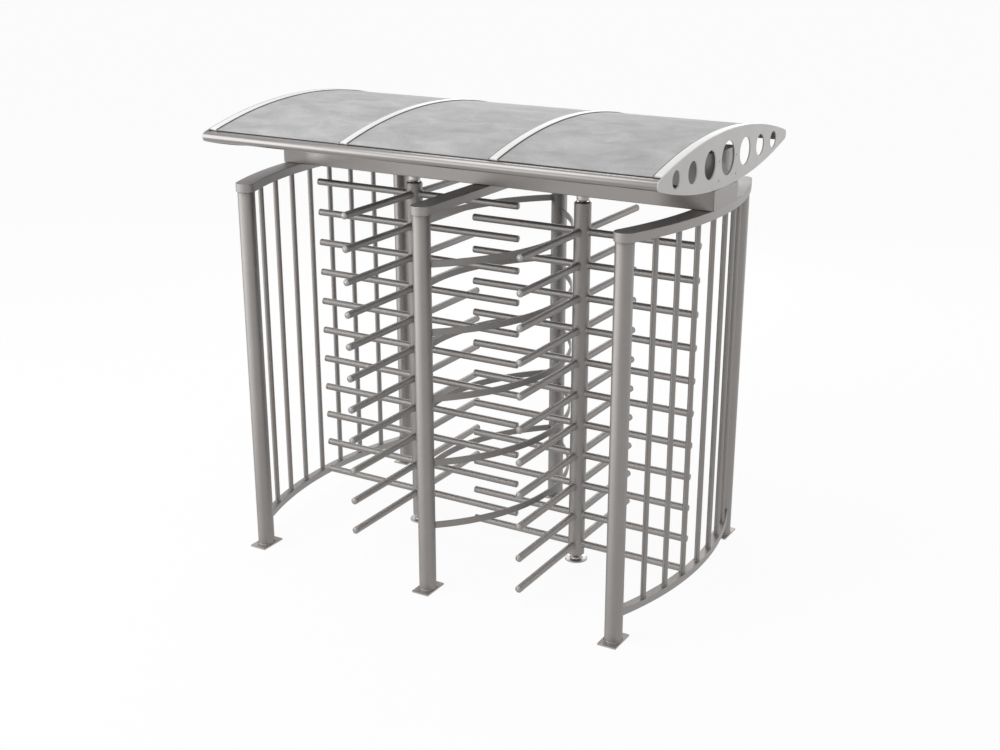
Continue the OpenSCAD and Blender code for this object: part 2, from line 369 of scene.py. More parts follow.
def add(tree, kind, inputs=None, **settings):
    """Adds a node; an input given as a socket is linked, and any other value is set on it."""
    node = tree.nodes.new(kind)
    for name, value in settings.items():
        setattr(node, name, value)
    for name, value in (inputs or {}).items():
        if isinstance(value, bpy.types.NodeSocket):
            tree.links.new(value, node.inputs[name])
        else:
            node.inputs[name].default_value = value
    return node


def geometry_tree(name, inputs):
    """An empty Geometry Nodes tree with named inputs, and its input node."""
    tree = bpy.data.node_groups.new(name, "GeometryNodeTree")
    tree.interface.new_socket("Geometry", in_out="OUTPUT", socket_type="NodeSocketGeometry")
    tree.interface.new_socket("Geometry", in_out="INPUT", socket_type="NodeSocketGeometry")
    for title, kind in inputs.items():
        tree.interface.new_socket(title, in_out="INPUT", socket_type="NodeSocket" + kind)
    tree.interface.new_socket("Material", in_out="INPUT", socket_type="NodeSocketMaterial")
    return tree, add(tree, "NodeGroupInput").outputs


def geometry_end(tree, given, geometry):
    """Ends a tree: instances become real and get their material."""
    real = add(tree, "GeometryNodeRealizeInstances", {"Geometry": geometry}).outputs["Geometry"]
    painted = add(tree, "GeometryNodeSetMaterial", {"Geometry": real, "Material": given["Material"]})
    add(tree, "NodeGroupOutput", {"Geometry": painted.outputs["Geometry"]})
    return tree


def stack_tree():
    """Repeats a shape upwards at an even pitch: the arms of a wing and the barrier bars."""
    tree, given = geometry_tree("even_stack", {"Count": "Int", "Pitch": "Float"})
    step = add(tree, "ShaderNodeCombineXYZ", {"Z": given["Pitch"]}).outputs["Vector"]
    line = add(tree, "GeometryNodeMeshLine", {"Count": given["Count"], "Offset": step})
    copies = add(tree, "GeometryNodeInstanceOnPoints", {
        "Points": line.outputs["Mesh"], "Instance": given["Geometry"]})
    return geometry_end(tree, given, copies.outputs["Instances"])


def bowed_row_tree():
    """Stands copies of an upright bar along a cage's bowed rail, at an even pitch along Y."""
    tree, given = geometry_tree("bowed_row", {
        "Count": "Int", "Pitch": "Float", "Radius": "Float", "Centre": "Float", "Side": "Float"})
    step = add(tree, "ShaderNodeCombineXYZ", {"Y": given["Pitch"]}).outputs["Vector"]
    gaps = add(tree, "ShaderNodeMath", {0: given["Count"], 1: 1.0}, operation="SUBTRACT")
    reach = add(tree, "ShaderNodeMath", {0: gaps.outputs[0], 1: given["Pitch"]}, operation="MULTIPLY")
    start = add(tree, "ShaderNodeMath", {0: reach.outputs[0], 1: -0.5}, operation="MULTIPLY")
    first = add(tree, "ShaderNodeCombineXYZ", {"Y": start.outputs[0]}).outputs["Vector"]
    line = add(tree, "GeometryNodeMeshLine", {
        "Count": given["Count"], "Offset": step, "Start Location": first}).outputs["Mesh"]
    place = add(tree, "GeometryNodeInputPosition").outputs["Position"]
    y = add(tree, "ShaderNodeSeparateXYZ", {"Vector": place}).outputs["Y"]
    y_square = add(tree, "ShaderNodeMath", {0: y, 1: y}, operation="MULTIPLY").outputs[0]
    r_square = add(tree, "ShaderNodeMath", {0: given["Radius"], 1: given["Radius"]}, operation="MULTIPLY")
    rest = add(tree, "ShaderNodeMath", {0: r_square.outputs[0], 1: y_square}, operation="SUBTRACT").outputs[0]
    bow = add(tree, "ShaderNodeMath", {0: rest}, operation="SQRT").outputs[0]
    x = add(tree, "ShaderNodeMath", {0: bow, 1: given["Centre"]}, operation="ADD").outputs[0]
    sided = add(tree, "ShaderNodeMath", {0: x, 1: given["Side"]}, operation="MULTIPLY").outputs[0]
    shift = add(tree, "ShaderNodeCombineXYZ", {"X": sided}).outputs["Vector"]
    moved = add(tree, "GeometryNodeSetPosition", {"Geometry": line, "Offset": shift}).outputs["Geometry"]
    copies = add(tree, "GeometryNodeInstanceOnPoints", {"Points": moved, "Instance": given["Geometry"]})
    return geometry_end(tree, given, copies.outputs["Instances"])


def arch_tree():
    """Bends a strip that lies flat along Y onto the canopy's arch; its Z is the height above the arch."""
    tree, given = geometry_tree("canopy_arch", {"Radius": "Float", "Top": "Float"})
    place = add(tree, "GeometryNodeInputPosition").outputs["Position"]
    flat = add(tree, "ShaderNodeSeparateXYZ", {"Vector": place}).outputs
    angle = add(tree, "ShaderNodeMath", {0: flat["Y"], 1: given["Radius"]}, operation="DIVIDE").outputs[0]
    reach = add(tree, "ShaderNodeMath", {0: given["Radius"], 1: flat["Z"]}, operation="ADD").outputs[0]
    sine = add(tree, "ShaderNodeMath", {0: angle}, operation="SINE").outputs[0]
    cosine = add(tree, "ShaderNodeMath", {0: angle}, operation="COSINE").outputs[0]
    y = add(tree, "ShaderNodeMath", {0: reach, 1: sine}, operation="MULTIPLY").outputs[0]
    rise = add(tree, "ShaderNodeMath", {0: reach, 1: cosine}, operation="MULTIPLY").outputs[0]
    centre = add(tree, "ShaderNodeMath", {0: given["Top"], 1: given["Radius"]}, operation="SUBTRACT")
    z = add(tree, "ShaderNodeMath", {0: rise, 1: centre.outputs[0]}, operation="ADD").outputs[0]
    bent = add(tree, "ShaderNodeCombineXYZ", {"X": flat["X"], "Y": y, "Z": z}).outputs["Vector"]
    moved = add(tree, "GeometryNodeSetPosition", {"Geometry": given["Geometry"], "Position": bent})
    return geometry_end(tree, given, moved.outputs["Geometry"])


def corners_tree():
    """Sets one copy of a shape on each corner of an upright rectangle in the plane of Y and Z."""
    tree, given = geometry_tree("four_corners", {"Width": "Float", "Height": "Float", "Centre": "Vector"})
    grid = add(tree, "GeometryNodeMeshGrid", {
        "Size X": given["Height"], "Size Y": given["Width"], "Vertices X": 2, "Vertices Y": 2})
    upright = add(tree, "GeometryNodeTransform", {
        "Geometry": grid.outputs["Mesh"], "Translation": given["Centre"], "Rotation": (0, math.pi / 2, 0)})
    copies = add(tree, "GeometryNodeInstanceOnPoints", {
        "Points": upright.outputs["Geometry"], "Instance": given["Geometry"]})
    return geometry_end(tree, given, copies.outputs["Instances"])


TREES = {}


def grown(name, mesh, make, **inputs):
    """Runs a Geometry Nodes tree, made when it is first asked for, on a mesh; leaves a plain mesh."""
    if make not in TREES:
        TREES[make] = make()
    piece = link(name, mesh)
    modifier = piece.modifiers.new(name, "NODES")
    modifier.node_group = TREES[make]
    for item in TREES[make].interface.items_tree:
        if item.in_out == "INPUT" and item.name in inputs:
            modifier[item.identifier] = inputs[item.name]
    return baked(piece)


# ---------------------------------------------------------------- finishes


def blank(kind, name):
    """New data of a kind, a material or a world, with an empty node tree."""
    made = kind.new(name)
    made.use_nodes = True
    made.node_tree.nodes.clear()
    return made, made.node_tree


def coated(tree, paint, rough, bump, **inputs):
    """Ends a material's tree with its Principled shader and its output."""
    inputs = {title.replace("_", " "): value for title, value in inputs.items()}
    inputs.update({"Base Color": paint, "Roughness": rough, "Normal": bump})
    surface = add(tree, "ShaderNodeBsdfPrincipled", inputs)
    add(tree, "ShaderNodeOutputMaterial", {"Surface": surface.outputs["BSDF"]})


def toned(tree, tone, share, darker, lighter):
    """A tone that runs from a darker shade to a lighter one as the share goes from 0 to 1."""
    low = [value * darker for value in tone]
    high = [min(1.0, value * lighter) for value in tone]
    return add(tree, "ShaderNodeMix", {
        "Factor": share, 6: (*low, 1), 7: (*high, 1)}, data_type="RGBA").outputs[2]


def satin_steel(name, tone, roughness=0.40, grain=0.0025, depth=0.05, contrast=0.10, stretch=0.0):
    """Stainless steel, belt ground to a satin: a soft, broad highlight broken by fine lines.

    The lines follow U, or run round the tube where its highlight is stretched along it. Real ones are
    0.1 mm apart; they are drawn wider so that they show.
    """
    material, nodes = blank(bpy.data.materials, name)
    spots = add(nodes, "ShaderNodeTexCoord").outputs
    scale = (1 / grain, 1 / 0.06, 1.0) if stretch else (1 / 0.25, 1 / grain, 1.0)
    stretched = add(nodes, "ShaderNodeMapping", {"Vector": spots["UV"], "Scale": scale}).outputs["Vector"]
    lines = add(nodes, "ShaderNodeTexNoise", {
        "Vector": stretched, "Scale": 1.0, "Detail": 3.0, "Roughness": 0.6}).outputs["Fac"]
    cloud = add(nodes, "ShaderNodeTexNoise", {
        "Vector": spots["Object"], "Scale": 1 / 0.18, "Detail": 4.0, "Roughness": 0.55}).outputs["Fac"]
    both = add(nodes, "ShaderNodeMix", {0: 0.45, 2: lines, 3: cloud}).outputs[0]
    blend = add(nodes, "ShaderNodeMapRange", {
        "Value": both, "From Min": 0.3, "From Max": 0.7}).outputs["Result"]
    paint = toned(nodes, tone, blend, 1 - contrast, 1 + contrast)
    rough = add(nodes, "ShaderNodeMapRange", {
        "Value": both, "From Min": 0.3, "From Max": 0.7,
        "To Min": roughness - 0.05, "To Max": roughness + 0.06}).outputs["Result"]
    bump = add(nodes, "ShaderNodeBump", {
        "Height": lines, "Strength": depth, "Distance": 0.0003}).outputs["Normal"]
    given = {"Metallic": 1.0, "Anisotropic": stretch}
    if stretch:
        along = add(nodes, "ShaderNodeTangent", direction_type="UV_MAP", uv_map="UVMap")
        given["Tangent"] = along.outputs["Tangent"]
    coated(nodes, paint, rough, bump, **given)
    return material


def satin_tube(name, tone):
    """Stainless tube, polished round and round on a belt, so its highlight runs along the tube."""
    return satin_steel(name, tone, roughness=0.52, stretch=0.45)


def ground_steel(name, tone):
    """Flat bar and plate, ground with a finer belt: softer lines and a duller sheen than the sheet."""
    return satin_steel(name, tone, roughness=0.50, depth=0.008, contrast=0.05)


def turned_steel(name, tone):
    """Turned steel, polished: very fine lines, and a brighter, narrower highlight than the sheet's."""
    return satin_steel(name, tone, roughness=0.32, grain=0.0015, depth=0.02, contrast=0.05)


def anodised(name, tone):
    """Satin anodised aluminium extrusion: a smooth, even grey sheen with faint die lines along it."""
    return satin_steel(name, tone, roughness=0.30, grain=0.014, depth=0.004, contrast=0.02)


def powder_coat(name, tone, roughness=0.42, grain=0.0016, contrast=0.03):
    """Powder coat on metal: an even colour under a fine orange peel, with a soft sheen."""
    material, nodes = blank(bpy.data.materials, name)
    spots = add(nodes, "ShaderNodeTexCoord").outputs["Object"]
    peel = add(nodes, "ShaderNodeTexNoise", {
        "Vector": spots, "Scale": 1 / grain, "Detail": 2.0}).outputs["Fac"]
    cloud = add(nodes, "ShaderNodeTexNoise", {
        "Vector": spots, "Scale": 1 / 0.12, "Detail": 4.0, "Roughness": 0.5}).outputs["Fac"]
    paint = toned(nodes, tone, cloud, 1 - contrast, 1 + contrast)
    rough = add(nodes, "ShaderNodeMapRange", {
        "Value": cloud, "From Min": 0.3, "From Max": 0.7,
        "To Min": roughness - 0.05, "To Max": roughness + 0.05}).outputs["Result"]
    bump = add(nodes, "ShaderNodeBump", {
        "Height": peel, "Strength": 0.08, "Distance": 0.0002}).outputs["Normal"]
    coated(nodes, paint, rough, bump)
    return material


def rubber(name, tone):
    """Black moulded rubber: matt, with a faint bloom."""
    return powder_coat(name, tone, roughness=0.7, grain=0.001, contrast=0.2)


def frosted_sheet(name, tone):
    """Polycarbonate, embossed frost: matt and pale, with soft clouds of painted reflection, and a little
    clear.
    """
    material, nodes = blank(bpy.data.materials, name)
    spots = add(nodes, "ShaderNodeTexCoord").outputs["Object"]
    stretched = add(nodes, "ShaderNodeMapping", {"Vector": spots, "Scale": (1.0, 1.6, 1.0)})
    # The large soft clouds are a painted reflection: colour that stands in for the surroundings mirrored in
    # the sheet.
    cloud = add(nodes, "ShaderNodeTexNoise", {
        "Vector": stretched.outputs["Vector"], "Scale": 1 / 0.22, "Detail": 6.0, "Roughness": 0.62,
        "Distortion": 0.6}).outputs["Fac"]
    frost = add(nodes, "ShaderNodeTexNoise", {
        "Vector": spots, "Scale": 1 / 0.006, "Detail": 3.0, "Roughness": 0.7}).outputs["Fac"]
    both = add(nodes, "ShaderNodeMix", {0: 0.35, 2: cloud, 3: frost}).outputs[0]
    blend = add(nodes, "ShaderNodeMapRange", {
        "Value": both, "From Min": 0.36, "From Max": 0.64}).outputs["Result"]
    # Painted reflection and real frost: the colour runs lighter and darker with the clouds and with the
    # frost's grain.
    paint = toned(nodes, tone, blend, 0.76, 1.20)
    rough = add(nodes, "ShaderNodeMapRange", {
        "Value": both, "From Min": 0.36, "From Max": 0.64, "To Min": 0.66, "To Max": 0.80}).outputs["Result"]
    bump = add(nodes, "ShaderNodeBump", {
        "Height": frost, "Strength": 0.25, "Distance": 0.0006}).outputs["Normal"]
    coated(nodes, paint, rough, bump, IOR=1.58, Transmission_Weight=0.25, Specular_IOR_Level=0.3)
    return material


MATERIALS = {}


def finish(slot):
    """The material of one of the record's slots, made the first time it is asked for."""
    tone = bpy.context.scene.turnstile_colours
    makers = {
        "post_steel": (satin_tube, tone.post),
        "column_steel": (satin_tube, tone.column),
        "bars_steel": (satin_tube, tone.bars),
        "rail_steel": (ground_steel, tone.rail),
        "header_steel": (satin_steel, tone.header),
        "arm_steel": (satin_tube, tone.arm),
        "plate_steel": (ground_steel, tone.plate),
        "bearing_steel": (turned_steel, tone.bearing),
        "seal_rubber": (rubber, tone.seal),
        "roof_panel": (frosted_sheet, tone.panel),
        "rib_white": (powder_coat, tone.rib),
        "edge_aluminium": (anodised, tone.edge),
        "end_plate_satin": (powder_coat, tone.end_plate),
        "dark_screws": (powder_coat, tone.screw),
    }
    if slot not in MATERIALS:
        make, value = makers[slot]
        MATERIALS[slot] = make(slot, tuple(value))
    return MATERIALS[slot]


# ---------------------------------------------------------------- pieces


def welded_bar(radius, low, high, weld, x=0.0, y=0.0, steps=48, name="bar", both=True):
    """An upright round bar with a fillet weld at its foot, and at its head too if both ends are welded."""
    profile = [(radius + weld, low)]
    profile += [(radius + weld * (1 - math.sin(t)), low + weld * (1 - math.cos(t)))
                for t in (math.radians(a) for a in (30, 60, 90))]
    head = [(r, low + high - z) for r, z in reversed(profile)]
    profile += head if both else [(radius, high)]
    return turned(profile, name, x, y, steps)


def along_axis(axis):
    """The grain map of a straight piece whose grain follows one axis."""
    others = [i for i in range(3) if i != axis]
    return lambda place: (place[axis], place[others[0]] + place[others[1]])


def along_cage(side):
    """The grain map of a rail that follows a cage's bow."""
    def lay(place):
        x, y = side * place.x - CAGE_CENTRE, place.y
        return CAGE_R * math.atan2(y, x), math.hypot(x, y) + place.z
    return lay


class TURNSTILE_OT_posts(bpy.types.Operator):
    """Six round posts, each with a fillet weld to its base plate at its foot, reaching up to the rail above
    """

    bl_idname = "turnstile.posts"
    bl_label = "Posts"

    def execute(self, context):
        weld = context.scene.turnstile_sizes.weld
        for row in FRONT_REAR:
            for place in ("left", "middle", "right"):
                node = f"post_{row}_{place}"
                at = middle(node)
                mesh = welded_bar(POST_R, POST_FOOT, POST_HEAD, weld, at.x, at.y, 64, node, both=False)
                piece = softened(link(node + "_tube", mesh))
                settled(piece, "frame", "post_steel", node)
        return {"FINISHED"}


class TURNSTILE_OT_base_plates(bpy.types.Operator):
    """Base plates with ground edges and two anchor holes each"""

    bl_idname = "turnstile.base_plates"
    bl_label = "Base plates"

    def execute(self, context):
        edge = context.scene.turnstile_sizes.edge
        mount = next(m for m in frame["record"]["mounts"] if m["kind"] == "bolt_pattern")
        reach = mount["dims"]["spacing_y_mm"] / 2000
        radius = mount["dims"]["hole_r_mm"] / 1000
        for place, x in (("left", -POST_X), ("middle", 0.0), ("right", POST_X)):
            node = f"base_plates_{place}"
            low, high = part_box(node)
            width, half = high.x - low.x, high.y - POST_Y
            plates = []
            for y in (-POST_Y, POST_Y):
                outline = [(x + a, y + b) for a, b in rectangle(width, 2 * half, 0.003)]
                holes = [circle((x, y + s * reach), radius, 32) for s in (-1, 1)]
                plates.append(slab(outline, low.z, high.z, node, holes))
            piece = softened(link(node + "_ground", joined(plates, node)), edge * 0.4, 2)
            grained(piece, along_axis(1))
            settled(piece, "frame", "plate_steel", node)
        return {"FINISHED"}


def stadium(side):
    """Plan outline of a cage's top rail: two arcs joined by half-round ends over the posts."""
    half = RAIL_W / 2
    outer = arc((CAGE_CENTRE, 0), CAGE_R + half, -CAGE_ANGLE, CAGE_ANGLE, 48)
    inner = arc((CAGE_CENTRE, 0), CAGE_R - half, CAGE_ANGLE, -CAGE_ANGLE, 48)
    rear = arc((POST_X, POST_Y), half, CAGE_ANGLE, CAGE_ANGLE + math.pi, 24)
    front = arc((POST_X, -POST_Y), half, math.pi - CAGE_ANGLE, TURN - CAGE_ANGLE, 24)
    points = outer + rear[1:-1] + inner + front[1:-1]
    return [(side * x, y) for x, y in points]


class TURNSTILE_OT_rails(bpy.types.Operator):
    """Top and bottom rails of the two cages, and the straight rail between the middle posts"""

    bl_idname = "turnstile.rails"
    bl_label = "Rails"

    def execute(self, context):
        edge = context.scene.turnstile_sizes.edge
        for name, side in SIDES.items():
            mesh = slab(stadium(side), RAIL_LOW, RAIL_LOW + RAIL_H, "top_rail")
            piece = softened(link(f"cage_{name}_top_rail_bent", mesh), edge)
            grained(piece, along_cage(side))
            settled(piece, "frame", "rail_steel", f"cage_{name}_top_rail")
            section = rectangle(LOW_RAIL_W, LOW_RAIL_HIGH - LOW_RAIL_LOW, edge)
            height = (LOW_RAIL_LOW + LOW_RAIL_HIGH) / 2
            rings = []
            for a, b in arc((0, 0), 1.0, -CAGE_ANGLE, CAGE_ANGLE, 56):
                rings.append([
                    (side * (CAGE_CENTRE + (CAGE_R + w) * a), (CAGE_R + w) * b, height + h)
                    for w, h in section])
            piece = softened(link(f"cage_{name}_bottom_rail_bent", skin(rings, "bottom_rail")))
            settled(piece, "frame", "rail_steel", f"cage_{name}_bottom_rail")
        half = RAIL_W / 2
        outline = arc((0, POST_Y), half, 0, math.pi, 32) + arc((0, -POST_Y), half, math.pi, TURN, 32)
        mesh = slab(outline, RAIL_LOW, RAIL_LOW + RAIL_H, "middle_rail")
        piece = softened(link("middle_top_rail_ground", mesh), edge)
        grained(piece, along_axis(1))
        settled(piece, "frame", "rail_steel", "middle_top_rail", "top_rail_ends")
        return {"FINISHED"}


class TURNSTILE_OT_cage_bars(bpy.types.Operator):
    """Seven upright round bars between the rails of each cage"""

    bl_idname = "turnstile.cage_bars"
    bl_label = "Cage bars"

    def execute(self, context):
        weld = context.scene.turnstile_sizes.weld * 0.7
        for name, side in SIDES.items():
            bar = welded_bar(BAR_R, LOW_RAIL_HIGH, RAIL_LOW, weld, steps=32, name="cage_bar")
            piece = grown(
                f"cage_{name}_bars_row", bar, bowed_row_tree, Count=BAR_COUNT, Pitch=BAR_PITCH,
                Radius=CAGE_R, Centre=CAGE_CENTRE, Side=float(side), Material=finish("bars_steel"))
            settled(softened(piece), "frame", "bars_steel", f"cage_{name}_bars")
        return {"FINISHED"}


class TURNSTILE_OT_barrier_bars(bpy.types.Operator):
    """Five bowed flat bars to each side of the middle, from the front post to the rear one"""

    bl_idname = "turnstile.barrier_bars"
    bl_label = "Barrier bars"

    def execute(self, context):
        sizes = context.scene.turnstile_sizes
        section = rectangle(sizes.arc_thick, sizes.arc_height, 0.0015, 3)
        for name, side in SIDES.items():
            node = f"barrier_bars_{name}"
            low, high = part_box(node)
            bow = max(high.x, -low.x) - sizes.arc_thick / 2
            radius = (POST_Y**2 + bow**2) / (2 * bow)
            angle = math.asin(POST_Y / radius)
            height = low.z + sizes.arc_height / 2
            pitch = (high.z - low.z - sizes.arc_height) / (BARRIER_COUNT - 1)
            rings = []
            for a, b in arc((0, 0), 1.0, -angle, angle, 48):
                rings.append([
                    (side * (bow - radius + (radius + w) * a), (radius + w) * b, height + h)
                    for w, h in section])
            piece = grown(
                node + "_stack", skin(rings, "barrier_bar"), stack_tree, Count=BARRIER_COUNT,
                Pitch=pitch, Material=finish("bars_steel"))
            settled(softened(piece), "frame", "bars_steel", node)
        return {"FINISHED"}


def folded_box(node, edge, name):
    """A long box of folded sheet that fills a CAD node's box, and its section."""
    low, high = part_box(node)
    section = rounded([(low.y, low.z), (high.y, low.z), (high.y, high.z), (low.y, high.z)], edge)
    stations = [low.x + (high.x - low.x) * i / 8 for i in range(9)]
    return skin([[(x, y, z) for y, z in section] for x in stations], name, along=stations), section


class TURNSTILE_OT_header(bpy.types.Operator):
    """Folded sheet header, its two end covers, and the collars under it"""

    bl_idname = "turnstile.header"
    bl_label = "Header"

    def execute(self, context):
        mesh, section = folded_box("header_beam", context.scene.turnstile_sizes.sheet_edge, "header")
        piece = softened(link("header_beam_sheet", mesh))
        settled(piece, "frame", "header_steel", "header_beam")
        covers = []
        for side in (-1, 1):
            near, far = sorted((side * HEADER_END, side * COVER_END))
            covers.append(slab(section, near, far, "cover", axes="yzx"))
        piece = softened(link("header_end_covers_sheet", joined(covers, "covers")), 0.001, 2)
        grained(piece, along_axis(1))
        settled(piece, "frame", "header_steel", "header_end_covers")
        for name in SIDES:
            node = f"header_collar_{name}"
            low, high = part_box(node)
            at, radius, chamfer, bore_share = middle(node), (high.x - low.x) / 2, 0.004, 0.76
            bore = radius * bore_share
            profile = [(bore, low.z), (radius - chamfer, low.z)]
            profile += arc((radius - chamfer, low.z + chamfer), chamfer, -math.pi / 2, 0, 5)[1:]
            profile += [(radius, high.z), (bore, high.z)]
            piece = softened(link(node + "_turned", turned(profile, node, at.x, at.y, bored=True)))
            settled(piece, "frame", "bearing_steel", node)
        return {"FINISHED"}


class TURNSTILE_OT_floor_bearings(bpy.types.Operator):
    """Polished round bearing housings on the floor under the rotors"""

    bl_idname = "turnstile.floor_bearings"
    bl_label = "Floor bearings"

    def execute(self, context):
        for name in SIDES:
            node = f"floor_bearing_{name}"
            low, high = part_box(node)
            at, flange = middle(node), (high.x - low.x) / 2
            hub, bore, step, fillet, edge, cut = 0.032, flange * 0.355, 0.008, 0.006, 0.003, 0.002
            profile = [(bore, low.z + cut), (bore + cut, low.z), (flange, low.z)]
            profile += arc((flange - edge, low.z + step - edge), edge, 0, math.pi / 2, 5)
            profile += arc((hub + fillet, low.z + step + fillet), fillet, 1.5 * math.pi, math.pi, 5)
            profile += arc((hub - edge, high.z - edge), edge, 0, math.pi / 2, 5)
            profile += [(bore + cut, high.z), (bore, high.z - cut)]
            mesh = turned(profile, node, at.x, at.y, 72, bored=True)
            piece = softened(link(node + "_turned", mesh))
            settled(piece, "frame", "bearing_steel", node)
        return {"FINISHED"}


def aimed(rings, x, z, heading, name):
    """A shape through rings about the X axis, turned to a heading about a rotor's axis at x."""
    c, s = math.cos(heading), math.sin(heading)
    return skin([[(x + a * c - b * s, a * s + b * c, z + h) for a, b, h in ring] for ring in rings], name)


def arm_shape(x, z, heading, sizes):
    """One arm: a fillet weld that follows the column, a tube, a fine joint and a domed plug."""
    weld, dome, groove, steps = sizes.weld, sizes.dome, sizes.groove, 28
    lap, root = 0.001, 0.004
    rings = []
    for reach, out in ((-root, weld + lap), (0.0, weld), (weld * 0.35, weld * 0.35), (weld, 0.0)):
        ring = []
        for _, across, rise in hoop(0.0, ARM_R + out, steps):
            meet = math.sqrt(COLUMN_R**2 - min(abs(across), COLUMN_R * 0.9) ** 2)
            ring.append((meet + reach, across, rise))
        rings.append(ring)
    plug = ARM_REACH - dome - BUTTON_PROUD
    joint, slope = plug - 0.010, 0.0004
    profile = [
        (COLUMN_R + weld + lap, ARM_R), (joint, ARM_R), (joint + slope, ARM_R - groove),
        (joint + slope + groove, ARM_R - groove), (joint + 2 * slope + groove, ARM_R), (plug, ARM_R)]
    profile += [(plug + dome * math.sin(t), ARM_R * math.cos(t))
                for t in (math.radians(a) for a in (18, 36, 54, 72, 86))]
    rings += [hoop(reach, radius, steps) for reach, radius in profile]
    return aimed(rings, x, z, heading, "arm")


def button_shape(x, z, heading):
    """The polished centre of an arm's plug: a small domed disc that stands just proud of the plug."""
    radius = ARM_R * 0.34
    profile = ((0.004, 1.0), (0.0012, 1.0), (0.0006, 0.9), (0.0002, 0.6), (0.0, 0.12))
    rings = [hoop(ARM_REACH - back, radius * share, 16) for back, share in profile]
    return aimed(rings, x, z, heading, "button")


def column_shape(x):
    """A rotor's column: a tube with a cut foot and a rounded head."""
    cut, edge = 0.0015, 0.006
    profile = [(COLUMN_R - cut, COLUMN_FOOT), (COLUMN_R, COLUMN_FOOT + cut)]
    profile += arc((COLUMN_R - edge, COLUMN_HEAD - edge), edge, 0, math.pi / 2, 5)
    return turned(profile, "column", x, 0, 64)


def neck_ring_shape(low, high, bore, x):
    """The thin rubber ring on a column's head, with its outer edges rounded."""
    radius = (high.x - low.x) / 2
    profile = [(bore, low.z)] + arc((radius - RING_LIP, low.z + RING_LIP), RING_LIP, -math.pi / 2, 0, 4)
    profile += arc((radius - RING_LIP, high.z - RING_LIP), RING_LIP, 0, math.pi / 2, 4) + [(bore, high.z)]
    return turned(profile, "ring", x, 0, bored=True)


def spindle_shape(low, high, bore, x):
    """The journals at a rotor's foot and head, and the steel disc inside its neck ring."""
    cap, cut = COLUMN_HEAD + 2 * RING_LIP, 0.00075
    ends = []
    for radius, start, end in (
            (FOOT_JOURNAL_R, low.z, COLUMN_FOOT), (bore, COLUMN_HEAD, cap), (HEAD_JOURNAL_R, cap, high.z)):
        profile = [(radius - cut, start), (radius, start + cut), (radius, end - cut), (radius - cut, end)]
        ends.append(turned(profile, "spindle", x, 0, 32))
    return joined(ends, "spindle")


class TURNSTILE_OT_rotors(bpy.types.Operator):
    """The two rotors: column, spindle ends, neck ring and four wings of eleven arms"""

    bl_idname = "turnstile.rotors"
    bl_label = "Rotors"

    def execute(self, context):
        sizes = context.scene.turnstile_sizes
        outward = {"outer": 0.0, "inner": math.pi, "front": -math.pi / 2, "rear": math.pi / 2}
        for name, side in SIDES.items():
            body, x = f"{name}_rotor", side * AXIS_X
            piece = softened(link(f"{name}_column_tube", column_shape(x)))
            settled(piece, body, "column_steel", f"{name}_column")
            low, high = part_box(f"{name}_neck_ring")
            bore = (high.x - low.x) / 2 - 2 * RING_LIP
            piece = softened(link(f"{name}_neck_ring_moulded", neck_ring_shape(low, high, bore, x)))
            settled(piece, body, "seal_rubber", f"{name}_neck_ring")
            low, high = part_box(f"{name}_spindle")
            piece = softened(link(f"{name}_spindle_turned", spindle_shape(low, high, bore, x)))
            settled(piece, body, "bearing_steel", f"{name}_spindle")
            for wing, heading in outward.items():
                node = f"{name}_wing_{wing}"
                if side < 0 and wing in ("outer", "inner"):
                    heading = math.pi - heading
                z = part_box(node)[0].z + ARM_R
                piece = grown(
                    node + "_arms", arm_shape(x, z, heading, sizes), stack_tree, Count=ARM_COUNT,
                    Pitch=ARM_PITCH, Material=finish("arm_steel"))
                settled(softened(piece), body, "arm_steel", node)
                piece = grown(
                    node + "_plug_centres", button_shape(x, z, heading), stack_tree, Count=ARM_COUNT,
                    Pitch=ARM_PITCH, Material=finish("bearing_steel"))
                settled(softened(piece), body, "bearing_steel")
        return {"FINISHED"}


def strip(x, width, top, bottom, reach, radius, name, steps=64):
    """A flat strip along Y, its height counted from the arch, ready to be bent onto it."""
    section = [(x + a, (top + bottom) / 2 + b) for a, b in rectangle(width, top - bottom, radius, 3)]
    stations = [-reach + 2 * reach * i / steps for i in range(steps + 1)]
    return skin([[(a, y, b) for a, b in section] for y in stations], name, along=stations)


def arched(name, mesh, sizes, material):
    """A flat strip bent onto the canopy's arch."""
    piece = grown(
        name, mesh, arch_tree, Radius=sizes.canopy_radius, Top=LENS_HIGH.z, Material=material)
    return softened(piece)


class TURNSTILE_OT_canopy_ribs(bpy.types.Operator):
    """Arched white ribs, with a dark gasket between each rib and the roof sheets"""

    bl_idname = "turnstile.canopy_ribs"
    bl_label = "Canopy ribs"

    def execute(self, context):
        sizes = context.scene.turnstile_sizes
        width, gasket = sizes.rib_width, sizes.gasket
        seal_top, seal_bottom = -0.0025, -0.0065
        reach = sizes.canopy_radius * math.asin((NOSE_Y - RIB_SHORT) / sizes.canopy_radius)
        for group in ("end", "inner"):
            node = f"canopy_{group}_ribs"
            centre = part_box(node)[1].x - width / 2
            ribs, seals = [], []
            for side in (-1, 1):
                ribs.append(strip(side * centre, width, 0.0, -RIB_DEPTH, reach, 0.003, "rib"))
                for edge in ((-1, 1) if group == "inner" else (-side,)):
                    x = side * centre + edge * (width + gasket) / 2
                    seals.append(strip(x, gasket, seal_top, seal_bottom, reach, 0.001, "gasket"))
            piece = arched(node + "_coated", joined(ribs, node), sizes, finish("rib_white"))
            settled(piece, "frame", "rib_white", node)
            piece = arched(f"canopy_{group}_gaskets", joined(seals, "seals"), sizes, finish("seal_rubber"))
            settled(piece, "frame", "seal_rubber")
        return {"FINISHED"}


